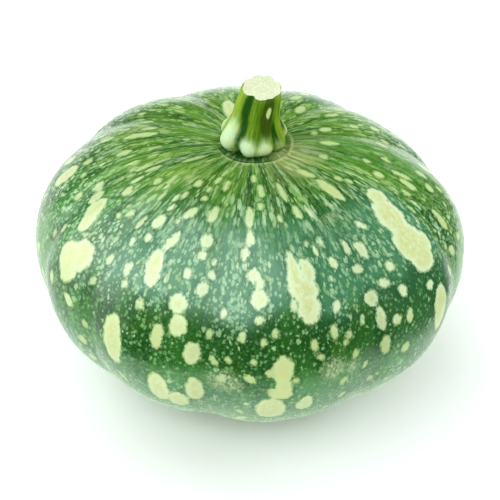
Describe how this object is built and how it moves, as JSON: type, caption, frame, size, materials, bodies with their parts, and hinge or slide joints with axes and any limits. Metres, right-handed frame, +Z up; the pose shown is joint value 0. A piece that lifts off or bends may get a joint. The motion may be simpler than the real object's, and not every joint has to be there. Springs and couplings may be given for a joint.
{
  "type": "pumpkin",
  "caption": "Round-flat mottled green squash with shallow lobes and a short ridged cut stem, resting on its blossom end.",
  "frame": {"origin": "middle of the bottom of the object's box, on the surface that the fruit rests on", "axes": "+Z up through the fruit towards the stem, -Y towards the front, +X to the right seen from the front"},
  "size_m": [0.2114, 0.2106, 0.1595],
  "materials": {
    "rind": "satin, waxy, mottled green with cream flecks and blotches",
    "stem": "fibrous ridged green stem with a pale cut face"
  },
  "bodies": {
    "root": {"fruit": "rind", "stem": "stem"}
  },
  "joints": []
}
